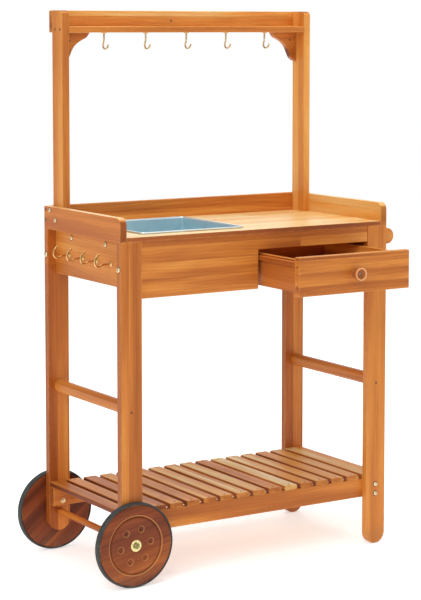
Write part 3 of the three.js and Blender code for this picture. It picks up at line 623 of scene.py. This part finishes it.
# ------------------------------------------------------------------ wheels
def wheel(tag, disc_node, tyre_node, body, outward, ang):
    lo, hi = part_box(disc_node)
    tl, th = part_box(tyre_node)
    cx, cz = (lo.x + hi.x) / 2, (lo.z + hi.z) / 2
    T = (hi.y - lo.y) * 1000
    R = (hi.x - lo.x) * 500
    yo = lo.y if outward[1] < 0 else hi.y
    c = Vector((cx, yo, cz))
    back = -T
    prof = [(0, 0), (30, 0), (67.4, 0), (68.3, -0.5), (69.4, -2.2), (71, -3.0), (72.6, -2.2), (73.7, -0.5), (74.6, 0), (R - 2.2, 0), (R - 1.0, -0.4), (R - 0.25, -1.2), (R, -2.2),
            (R, back + 2.2), (R - 0.25, back + 1.2), (R - 1.0, back + 0.4), (R - 2.2, back), (0, back)]
    bm = bmesh.new()
    lathe_bm(bm, prof, c, outward, 128)
    bmesh.ops.recalc_face_normals(bm, faces=bm.faces)
    me = bpy.data.meshes.new("tmp_disc")
    bm.to_mesh(me)
    bm.free()
    base = bpy.data.objects.new("tmp_disc", me)
    bpy.context.collection.objects.link(base)
    cutters = []
    for k in range(6):
        a = math.radians(k * 60 + 8.7)
        cc = Vector((cx + 0.0423 * math.cos(a), yo, cz + 0.0423 * math.sin(a)))
        bm = bmesh.new()
        lathe_bm(bm, [(0, 3), (8.9, 3), (8.3, 0.3), (7.6, -0.35), (7.1, -1.3), (6.4, -2.4), (5.0, -3.3), (3.0, -3.8), (0, -4.0)], cc, outward, 40)
        bmesh.ops.recalc_face_normals(bm, faces=bm.faces)
        cm = bpy.data.meshes.new("tmp_cut")
        bm.to_mesh(cm)
        bm.free()
        co = bpy.data.objects.new("tmp_cut", cm)
        bpy.context.collection.objects.link(co)
        cutters.append(co)
        mod = base.modifiers.new("cut%d" % k, "BOOLEAN")
        mod.operation = "DIFFERENCE"
        mod.solver = "EXACT"
        mod.object = co
    bpy.context.view_layer.update()
    dg = bpy.context.evaluated_depsgraph_get()
    res = bpy.data.meshes.new_from_object(base.evaluated_get(dg))
    for o in cutters + [base]:
        bpy.data.objects.remove(o, do_unlink=True)
    bm = bmesh.new()
    bm.from_mesh(res)
    m = wood(tag + "_disc", "x", "z", lo, hi, tone=-0.34, red=0.0, sw=0.052, sl=9, var=0.26, fig=0.8, seed=ang[1],
             spin=((cx, yo, cz), (0, 1, 0), ang[0]), hollow_light_shade=(cx, cz, yo, outward[1]))
    disc = finish_mesh("visual_" + disc_node, bm, m, body, 28)
    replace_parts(disc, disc_node)
    TR = (th.x - tl.x) * 500
    r0 = R + 0.3
    tp = [(r0, -1.2), (r0 + 0.3, -0.4), (r0 + 1.0, 0), (TR - 2.6, 0), (TR - 1.9, -0.3), (TR - 1.0, -1.0), (TR - 0.4, -2.4), (TR - 0.1, -4.4), (TR, -6.5),
          (TR, back + 6.5), (TR - 0.1, back + 4.4), (TR - 0.4, back + 2.4), (TR - 1.0, back + 1.0), (TR - 1.9, back + 0.3), (TR - 2.6, back), (r0 + 1.0, back), (r0 + 0.3, back + 0.4), (r0, back + 1.2), (r0, -1.2)]
    ty = lathe("visual_" + tyre_node, tp, c, outward, RUBBER, body, 128, 50)
    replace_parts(ty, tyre_node)
    lathe(tag + "_washer", [(0, 0.0), (14.3, 0.0), (14.6, 0.3), (14.6, 1.3), (14.2, 1.7), (9.2, 1.75), (0, 1.75)], c, outward, YELLOW, body, 56, 30)
    lathe(tag + "_cap_nut", [(0, 1.6), (8.7, 1.6, "hex"), (8.7, 2.0, "hex"), (8.5, 4.4, "hex"), (7.4, 5.2), (5.9, 5.2), (5.7, 6.0), (4.8, 6.8), (3.4, 7.0), (2.6, 6.4), (1.6, 5.0), (0, 4.7)],
          c, outward, OLIVE, body, 48, 30)
    lathe(tag + "_spacer", [(9, back - 1.3), (13, back - 1.3), (13, back - 0.05), (9, back - 0.05), (9, back - 1.3)], c, outward, STEEL, body, 40, 30)


wheel("wheel_front", "wheel_front_disc", "wheel_front_tyre", "wheel_front", FRONT, (12, 3.2))
wheel("wheel_rear", "wheel_rear_disc", "wheel_rear_tyre", "wheel_rear", BACK, (38, 5.6))

# axle rod, slightly irregular turned dowel
lo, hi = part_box("axle_rod")
ac = Vector(((lo.x + hi.x) / 2, lo.y, (lo.z + hi.z) / 2))
L = (hi.y - lo.y) * 1000
ar = (hi.x - lo.x) * 500
prof = [(0, 0), (ar - 0.9, 0), (ar, 1.0)] + [(ar - 0.12 * math.sin(i * 1.9) ** 2, 1 + (L - 2) * i / 14) for i in range(1, 14)] + [(ar, L - 1.0), (ar - 0.9, L), (0, L)]
axle = lathe("visual_axle_rod", prof, ac, BACK, wood("axle_rod", "y", "z", lo - Vector((1, 1, 1)), hi + Vector((1, 1, 1)), tone=-0.04, red=0.4, fig=0.8, seed=4.7), "frame", 40, 50)
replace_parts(axle, "axle_rod")

# ------------------------------------------------------------------ basin
lo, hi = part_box("basin")
bc = (lo + hi) / 2
HALF, CR = 147.5, 9.0
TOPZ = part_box("worktop")[1].z * 1000


def basin():
    t, z0, rb, bead = 1.4, TOPZ - 120, 0.8, 2.5
    bo, bz = bead - 1, TOPZ - rb + bead + 0.4
    sec = [(-HALF, z0 + t), (-60, z0 + t), (-14, z0 + t), (-9, z0 + t + 0.1), (-7, z0 + t + 0.35), (-5.4, z0 + t + 0.8), (-4, z0 + t + 1.6), (-2.9, z0 + t + 2.8),
           (-2.1, z0 + t + 4.3), (-1.6, z0 + t + 6.2), (-t, z0 + 10), (-t, z0 + 60), (-t, bz - 2.2), (-t, bz - 0.8)]
    for i in range(25):
        a = math.pi * (0.97 - i / 24 * 1.62)
        sec.append((bo + bead * math.cos(a), bz + bead * math.sin(a)))
    sec += [(0.3, TOPZ - rb + 0.4), (0.05, TOPZ - rb - 0.4), (0, TOPZ - 3), (0, z0 + 60), (0, z0 + 8), (-0.25, z0 + 6), (-0.9, z0 + 4.2), (-2, z0 + 2.6), (-3.6, z0 + 1.4), (-5.8, z0 + 0.5), (-9, z0), (-60, z0), (-HALF, z0)]
    bm = bmesh.new()
    cs, es = 10, 6
    rings = []
    for o, z in sec:
        h = HALF + o
        if h < 1:
            rings.append([bm.verts.new((bc.x, bc.y, z / 1000))])
            continue
        r = min(max(CR + o, 2.5), h)
        pts = []
        for q in range(4):
            sx = 1 if q in (0, 3) else -1
            sy = 1 if q < 2 else -1
            for i in range(cs + 1):
                a = q * math.pi / 2 + i / cs * math.pi / 2
                pts.append((sx * (h - r) + r * math.cos(a), sy * (h - r) + r * math.sin(a)))
            nx = (q + 1) % 4
            sx2 = 1 if nx in (0, 3) else -1
            sy2 = 1 if nx < 2 else -1
            a = nx * math.pi / 2
            e = (sx2 * (h - r) + r * math.cos(a), sy2 * (h - r) + r * math.sin(a))
            s = pts[-1]
            for i in range(1, es):
                pts.append((s[0] + (e[0] - s[0]) * i / es, s[1] + (e[1] - s[1]) * i / es))
        rings.append([bm.verts.new((bc.x + x / 1000, bc.y + y / 1000, z / 1000)) for x, y in pts])
    for a, b in zip(rings, rings[1:]):
        n = max(len(a), len(b))
        for i in range(n):
            j = (i + 1) % n
            if len(a) == 1:
                bm.faces.new((a[0], b[i], b[j]))
            elif len(b) == 1:
                bm.faces.new((a[i], a[j], b[0]))
            else:
                bm.faces.new((a[i], a[j], b[j], b[i]))
    return finish_mesh("visual_basin", bm, GALV, "basin", 60)


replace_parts(basin(), "basin")

# ------------------------------------------------------------------ knob, handle
lo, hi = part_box("drawer_knob")
kc = Vector(((lo.x + hi.x) / 2, hi.y, (lo.z + hi.z) / 2))
kp = [(0, 0), (11.2, 0), (10.4, 1.6), (9.4, 3.0), (8.8, 4.6), (8.3, 6.6), (8.2, 8.6), (8.5, 10.6), (9.2, 12.4), (10.2, 14.1), (11.6, 15.6), (13.2, 16.9), (14.6, 18.2), (15.6, 19.4), (16.2, 20.6), (16.55, 22.0), (16.6, 23.4),
      (16.5, 24.7), (16, 25.8), (15.4, 26.6), (14.6, 27), (13.8, 27.0), (13, 26.8), (12.2, 26.3), (11.5, 25.8), (10.4, 25.0), (9, 24.4), (7, 23.9), (5.0, 23.7), (4.4, 23.6), (3.6, 22.8), (3.0, 21.4), (2.6, 20.2), (0, 20.0)]
kp = [(r * 1.07, h) for r, h in kp]
knob = lathe("visual_drawer_knob", kp, kc, FRONT, wood("drawer_knob", "z", "x", lo - Vector((1, 1, 1)), hi + Vector((1, 1, 1)), tone=0.02, red=0.2, fig=0.5, seed=3.9, dish_light_shade=(kc.x, kc.z)), "drawer", 64, 45)
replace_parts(knob, "drawer_knob")
sunk_screw("knob_screw", kc + Vector((0, -0.0209, 0)), FRONT, STEEL, 2.6, "drawer")

hlo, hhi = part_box("push_handle")
HX0, HZ = hlo.x, (hlo.z + hhi.z) / 2
HR = (hhi.z - hlo.z) / 2
HXC = hhi.x - HR


def arm(name, y0, y1):
    bm = bmesh.new()
    pts = [(HX0, HZ - HR)] + [(HXC + HR * math.cos(a), HZ + HR * math.sin(a)) for a in [math.radians(-90 + 180 * i / 32) for i in range(33)]] + [(HX0, HZ + HR)]
    vs = [bm.verts.new((x, y0, z)) for x, z in pts]
    f = bm.faces.new(vs)
    ext = bmesh.ops.extrude_face_region(bm, geom=[f])
    for e in ext["geom"]:
        if isinstance(e, bmesh.types.BMVert):
            e.co.y = y1
    lo, hi = Vector((HX0, y0, HZ - HR)), Vector((HXC + HR, y1, HZ + HR))
    o = finish_mesh(name, bm, wood(name, "x", "z", lo - Vector((1, 0, 1)), hi + Vector((1, 0, 1)), tone=0.14, fig=0.5), "frame", 35)
    b = o.modifiers.new("arris", "BEVEL")
    b.width, b.segments, b.limit_method, b.angle_limit = 0.0022, 3, "ANGLE", math.radians(50)
    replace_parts(o, "push_handle")
    return o


arm("handle_arm_front", hlo.y, hlo.y + 0.018)
arm("handle_arm_rear", hhi.y - 0.018, hhi.y)
GL = (hhi.y - hlo.y - 0.036) * 1000 - 0.6
gp = [(0, 0), (11.4, 0)] + [(11.6 + 0.9 * math.sin(math.pi * i / 24) ** 0.6, GL * i / 24) for i in range(1, 24)] + [(11.4, GL), (0, GL)]
grip = lathe("handle_grip", gp, Vector((HXC, hlo.y + 0.0183, HZ)), BACK, wood("handle_grip", "y", "z", hlo - Vector((1, 1, 1)), hhi + Vector((1, 1, 1)), tone=0.10, fig=0.5), "frame", 48, 50)
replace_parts(grip, "push_handle")


# ------------------------------------------------------------------ cup hooks
def catmull(pts, n):
    out = []
    P4 = [pts[0]] + pts + [pts[-1]]
    for i in range(len(pts) - 1):
        p0, p1, p2, p3 = P4[i:i + 4]
        for k in range(n):
            t = k / n
            out.append(tuple(0.5 * ((2 * b) + (-a + c) * t + (2 * a - 5 * b + 4 * c - d) * t * t + (-a + 3 * b - 3 * c + d) * t ** 3) for a, b, c, d in zip(p0, p1, p2, p3)))
    out.append(pts[-1])
    return out


HOOK = [(22, 0), (26.5, -1.4), (31, -3.8), (36, -5), (41, -3.6), (45, 1), (46.2, 7), (45, 13.5), (41.8, 19.5), (37.4, 23.6), (33, 25.5)]


def hook(node, out, up, mat, k=1.0):
    lo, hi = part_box(node)
    out, up = Vector(out), Vector(up)
    c = (lo + hi) / 2
    # foot of the shank: on the mounting face, at the collar's centre
    base = Vector(c)
    for i in range(3):
        if abs(out[i]) > 0.5:
            base[i] = lo[i] if out[i] > 0 else hi[i]
        elif abs(up[i]) > 0.5:
            base[i] = (lo[i] if up[i] > 0 else hi[i]) + up[i] * 0.0069
    base_up = base
    path = [(0, 0), (3, 0), (8, 0), (15 * k, 0)] + [(a * k, b * k) for a, b in catmull(HOOK, 5)]
    w = 2.25
    rad = [w] * len(path)
    rad[-1], rad[-2] = w * 0.55, w * 0.95
    side = out.cross(up).normalized()
    bm = bmesh.new()
    rings = []
    n = 16
    for k, (s, l) in enumerate(path):
        a, b = path[max(0, k - 1)], path[min(len(path) - 1, k + 1)]
        tan = (out * (b[0] - a[0]) + up * (b[1] - a[1])).normalized()
        u = tan.cross(side).normalized()
        q = base_up + out * s / 1000 + up * l / 1000
        rings.append([bm.verts.new(q + (side * math.cos(2 * math.pi * i / n) + u * math.sin(2 * math.pi * i / n)) * rad[k] / 1000) for i in range(n)])
    for a, b in zip(rings, rings[1:]):
        for i in range(n):
            j = (i + 1) % n
            bm.faces.new((a[i], a[j], b[j], b[i]))
    bm.faces.new(rings[0])
    tipc = base_up + out * path[-1][0] / 1000 + up * path[-1][1] / 1000
    tv = bm.verts.new(tipc + (out * (path[-1][0] - path[-2][0]) + up * (path[-1][1] - path[-2][1])).normalized() * 0.0009)
    for i in range(n):
        bm.faces.new((rings[-1][i], rings[-1][(i + 1) % n], tv))
    lathe_bm(bm, [(0, 0), (6.3, 0), (6.6, 0.3), (6.55, 1.0), (6.2, 1.5), (5.2, 1.9), (4.6, 2.5), (3.6, 3.0), (2.6, 3.6), (2.0, 4.6), (0, 4.7)], base_up, out, 32)
    o = finish_mesh("visual_" + node, bm, mat, "frame", 45)
    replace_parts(o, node)


for i in range(1, 6):
    hook("top_hook_%d" % i, DOWN, FRONT, NICKEL, 0.92)
for i in range(1, 5):
    hook("side_hook_%d" % i, LEFT, UP, BRASS)

# ------------------------------------------------------------------ fasteners
for tag, x, y, d in (("front_right", W - 30, 0, FRONT), ("rear_right", W - 30, D, BACK), ("rear_left", 30, D, BACK)):
    for k, z in enumerate((160, 135)):
        if tag == "rear_left":  # flush bolt heads behind the rear wheel
            lathe("leg_bolt_%s_%d" % (tag, k), [(0, -2), (5.6, -2), (5.6, 0.5), (5.0, 0.9), (2.6, 0.9, "hex"), (2.4, -1.0, "hex"), (0, -1.0)], P(x, y, z), d, BOLT, "frame", 36, 30)
        else:
            pan_head("leg_bolt_%s_%d" % (tag, k), P(x, y, z), d, BOLT, 6.2, 3.0)
for tag, x, y, d in (("rear_left", 30, D - 36, FRONT), ("rear_right", W - 30, D - 36, FRONT), ("front_left", 30, 36, BACK), ("front_right", W - 30, 36, BACK)):
    for k, z in enumerate((137,) if tag == "rear_left" else (160, 135)):
        lathe("rail_nut_%s_%d" % (tag, k), [(0, 0.2), (7.0, 0.2), (7.2, 0.5), (7.0, 1.1), (5.4, 1.3), (5.2, 1.4, "hex"), (5.1, 4.0, "hex"), (4.4, 4.6), (3.2, 4.6), (3.0, 6.2), (2.4, 6.6), (0, 6.6)], P(x, y, z), d, BOLT, "frame", 36, 30)
for tag, x, y, d in (("fl", 0, 9, LEFT), ("rl", 0, D - 9, LEFT), ("fr", W, 9, RIGHT), ("rr", W, D - 9, RIGHT)):
    pan_head("side_bolt_" + tag, P(x, y, 785), d, BOLT, 6.6, 3.6)
for tag, x, d in (("l", 24, LEFT), ("r", W - 24, RIGHT)):
    for k, y in enumerate((296, 117)):
        pan_head("panel_bolt_%s_%d" % (tag, k), P(x, y, 836), d, BOLT, 6.2, 3.2)
for tag, x, d in (("l", 0, LEFT), ("r", W, RIGHT)):
    for k, (y, z) in enumerate(((370, 902), (339, 878))):
        pan_head("post_bolt_%s_%d" % (tag, k), P(x, y, z), d, BOLT, 5.6, 2.8)
    for k, z in enumerate((902, 876)):
        sunk_screw("gallery_screw_%s_%d" % (tag, k), P(x, D - 8.5, z), d)
for tag, x in (("l", 30), ("r", W - 30)):
    sunk_screw("stretcher_screw_front_" + tag, P(x, 0, 433), FRONT, R=3.2)
    sunk_screw("stretcher_screw_rear_" + tag, P(x, D, 433), BACK, R=3.2)
    sunk_screw("panel_screw_front_" + tag, P(x + (2 if tag == "l" else -2), D, 800), BACK, R=3.2)
    sunk_screw("panel_screw_low_" + tag, P(x + (2 if tag == "l" else -2), D, 760), BACK, R=3.2)
for tag, x, d in (("l", 18, LEFT), ("r", W - 18, RIGHT)):
    sunk_screw("shelf_screw_" + tag, P(x, 368, 1366), d, R=3.4)
    sunk_screw("shelf_screw_b_" + tag, P(x, 340, 1366), d, R=3.4)
sunk_screw("back_board_screw_mid", P(374, 383, 1389), FRONT, R=2.8)
for k, x in enumerate((28, W - 28)):
    for j, z in enumerate((1400, 1372)):
        sunk_screw("back_board_screw_%d_%d" % (k, j), P(x, D, z), BACK, R=3.4)
sunk_screw("bracket_screw_l", P(38 + 21, 367, 1358 - 21), FRONT, R=2.8)
sunk_screw("bracket_screw_r", P(W - 38 - 21, 367, 1358 - 21), FRONT, R=2.8)
hz = HZ * 1000
hx = (HXC - LEG0.x) * 1000
sunk_screw("handle_screw_front", P(hx, 18, hz), FRONT, STEEL, R=2.4)
sunk_screw("handle_screw_rear", P(hx, D - 18, hz), BACK, R=3.4)
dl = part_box("drawer_front")
for k, z in enumerate((dl[0].z * 1000 + 24, dl[1].z * 1000 - 24)):
    plug("drawer_dowel_l%d" % k, Vector((dl[0].x, (dl[0].y + dl[1].y) / 2, z / 1000)), LEFT, "drawer", 3.0, -0.25)
    plug("drawer_dowel_r%d" % k, Vector((dl[1].x, (dl[0].y + dl[1].y) / 2, z / 1000)), RIGHT, "drawer", 3.0, -0.25)


# nails near both ends of each slat
def nails(name, y):
    bm = bmesh.new()
    for i in range(1, 17):
        lo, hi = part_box("shelf_slat_%02d" % i)
        ww = hi.x - lo.x
        xs = [(lo.x + hi.x) / 2 + 0.0015 * math.sin(i * 2.3)] if ww < 0.05 else [lo.x + 0.014, hi.x - 0.014]
        for x in xs:
            lathe_bm(bm, [(0, -2), (2.0, -2), (2.3, 0.05), (2.1, 0.3), (1.3, 0.45), (0, 0.2)], Vector((x, LEG0.y + y / 1000, hi.z)), UP, 16)
    return finish_mesh(name, bm, DARK, "frame", 40)


nails("slat_nails_front", 28)
nails("slat_nails_rear", D - 28)


# drawer guides: a board and a ledge under each runner strip
def brick(name, a, b, along, across, tone, bev=1.0):
    bm = bmesh.new()
    bmesh.ops.create_cube(bm, size=1)
    for v in bm.verts:
        v.co = Vector([a[i] + (v.co[i] + 0.5) * (b[i] - a[i]) for i in range(3)])
    bmesh.ops.bevel(bm, geom=list(bm.edges), offset=bev / 1000, segments=2, affect="EDGES")
    return finish_mesh(name, bm, wood(name, along, across, a, b, tone=tone, red=0.3), "frame", 40)


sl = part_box("drawer_side_left")
strip_z0 = sl[1].z * 1000 - 15
strip_x = (sl[0].x - LEG0.x) * 1000
brick("drawer_guide_left", P(strip_x - 16, 18.4, 744), P(strip_x - 1, D - 18.6, 800), "y", "z", -0.06)
brick("drawer_ledge_left", P(strip_x - 0.9, 22, strip_z0 - 11), P(strip_x + 7.4, D - 22, strip_z0 - 0.4), "y", "z", 0.0)
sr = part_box("drawer_side_right")
rx = (sr[1].x - LEG0.x) * 1000
brick("drawer_guide_right", P(rx + 1.6, 18.4, 744), P(W - 40.4, D - 18.6, 800), "y", "z", -0.06)
brick("drawer_ledge_right", P(rx - 7.4, 22, strip_z0 - 11), P(rx + 1.4, D - 22, strip_z0 - 0.4), "y", "z", 0.0)


# ------------------------------------------------------------------ floor
def floor():
    m, t, b, tc = new_mat("floor_pale")
    n = t.noise(tc.outputs["Object"], 3, 3, 0.5)
    t.l.new(t.mix(n, (0.86, 0.86, 0.86), (0.90, 0.90, 0.90)), b.inputs["Base Color"])
    b.inputs["Roughness"].default_value = 0.85
    b.inputs["Specular IOR Level"].default_value = 0.1
    b.inputs["Emission Color"].default_value = (1, 1, 1, 1)
    b.inputs["Emission Strength"].default_value = 0.46
    me = bpy.data.meshes.new("floor")
    s, zf = 30, -0.0005
    me.from_pydata([(-s, -s, zf), (s, -s, zf), (s, s, zf), (-s, s, zf)], [], [(0, 1, 2, 3)])
    me.materials.append(m)
    o = bpy.data.objects.new("floor", me)
    bpy.context.collection.objects.link(o)


floor()
